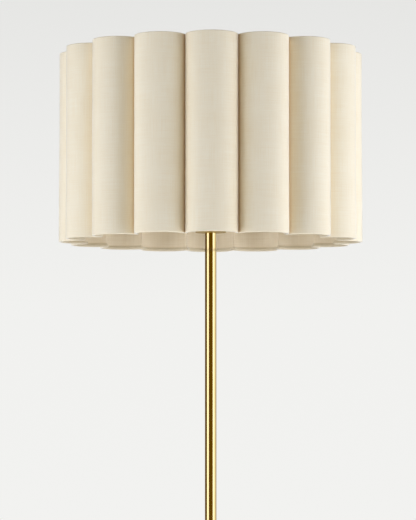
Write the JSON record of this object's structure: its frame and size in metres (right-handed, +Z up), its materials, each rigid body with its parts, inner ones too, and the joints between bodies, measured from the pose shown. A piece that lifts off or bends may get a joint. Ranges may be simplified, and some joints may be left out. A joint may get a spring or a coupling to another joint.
{
  "type": "floor lamp",
  "caption": "Floor lamp with a scalloped fabric drum shade on a slim brass pole, its harp and switched socket inside the shade, and a round weighted base.",
  "frame": {"origin": "on the floor, on the pole's axis, at the centre of the underside of the felt pad", "axes": "+Z up along the pole, front (the side of the switch knob) to -Y, the lead's inlet to +Y"},
  "size_m": [0.5, 0.5, 1.57],
  "materials": {
    "brass": "polished",
    "socket_brass": "satin",
    "zinc_steel": "satin",
    "ring_wire": "satin",
    "shade_fabric": "matte",
    "shade_backing": "matte",
    "cast_iron": "matte",
    "felt": "matte",
    "black_phenolic": "satin",
    "socket_paper": "matte",
    "bulb_glass": "satin",
    "bulb_end_glass": "gloss",
    "bulb_cap_metal": "satin"
  },
  "bodies": {
    "stand": {"base_pad": "felt", "base_weight": "cast_iron", "base_cover": "brass", "base_collar": "brass", "base_nipple": "zinc_steel", "base_washer": "zinc_steel", "base_lock_washer": "zinc_steel", "base_nut": "zinc_steel", "cord_bushing": "black_phenolic", "pole_lower": "brass", "pole_upper": "brass", "pole_inserts": "zinc_steel", "pole_stud": "zinc_steel", "neck_cap": "brass", "neck_nipple": "zinc_steel", "neck_lock_washer": "zinc_steel", "neck_nut": "zinc_steel", "harp_saddle": "brass", "nipple_bush": "black_phenolic", "socket_cap": "socket_brass", "socket_set_screw": "zinc_steel", "socket_shell": "socket_brass", "socket_insulator": "socket_paper", "socket_body": "black_phenolic", "screw_shell": "socket_brass", "centre_contact": "socket_brass", "terminal_screws": "zinc_steel", "switch_bush": "socket_brass"},
    "harp": {"harp_wire": "brass", "harp_crown": "brass"},
    "left_sleeve": {"sleeve_left": "brass"},
    "right_sleeve": {"sleeve_right": "brass"},
    "shade": {"harp_stud": "brass", "shade_spider": "ring_wire", "ring_top": "ring_wire", "ring_bottom": "ring_wire", "shade_panels": "shade_fabric", "shade_liner": "shade_backing", "hem_top": "shade_fabric", "hem_bottom": "shade_fabric"},
    "finial_lift": {"finial_washer": "brass"},
    "finial": {"finial_knob": "brass"},
    "switch": {"switch_stem": "zinc_steel", "switch_knob": "black_phenolic"},
    "bulb_lift": {"bulb_contact": "bulb_cap_metal", "bulb_insulator": "bulb_end_glass"},
    "bulb": {"bulb_cap": "bulb_cap_metal", "bulb_globe": "bulb_glass"}
  },
  "joints": [
    {"name": "harp_lift", "type": "slide", "parent": "stand", "child": "harp", "axis": [0, 0, 1], "range_m": [0, 0.22]},
    {"name": "left_sleeve_slide", "type": "slide", "parent": "harp", "child": "left_sleeve", "axis": [0, 0, 1], "range_m": [0, 0.016]},
    {"name": "right_sleeve_slide", "type": "slide", "parent": "harp", "child": "right_sleeve", "axis": [0, 0, 1], "range_m": [0, 0.016]},
    {"name": "shade_turn", "type": "hinge", "parent": "harp", "child": "shade", "pos_m": [0, 0, 1.5425], "axis": [0, 0, 1], "continuous": true},
    {"name": "finial_rise", "type": "slide", "parent": "shade", "child": "finial_lift", "axis": [0, 0, 1], "range_m": [0, 0.01364]},
    {"name": "finial_turn", "type": "hinge", "parent": "finial_lift", "child": "finial", "pos_m": [0, 0, 1.545], "axis": [0, 0, 1], "range_deg": [0, 5220]},
    {"name": "switch_turn", "type": "hinge", "parent": "stand", "child": "switch", "pos_m": [0, -0.0375, 1.3092], "axis": [0, -1, 0], "continuous": true},
    {"name": "bulb_rise", "type": "slide", "parent": "stand", "child": "bulb_lift", "axis": [0, 0, 1], "range_m": [0, 0.02177]},
    {"name": "bulb_turn", "type": "hinge", "parent": "bulb_lift", "child": "bulb", "pos_m": [0, 0, 1.34], "axis": [0, 0, 1], "range_deg": [0, 2160]}
  ],
  "couplings": [
    {"joint": "finial_rise", "follows": "finial_turn", "m_per_rad": 0.00014972},
    {"joint": "bulb_rise", "follows": "bulb_turn", "m_per_rad": 0.00057751}
  ]
}
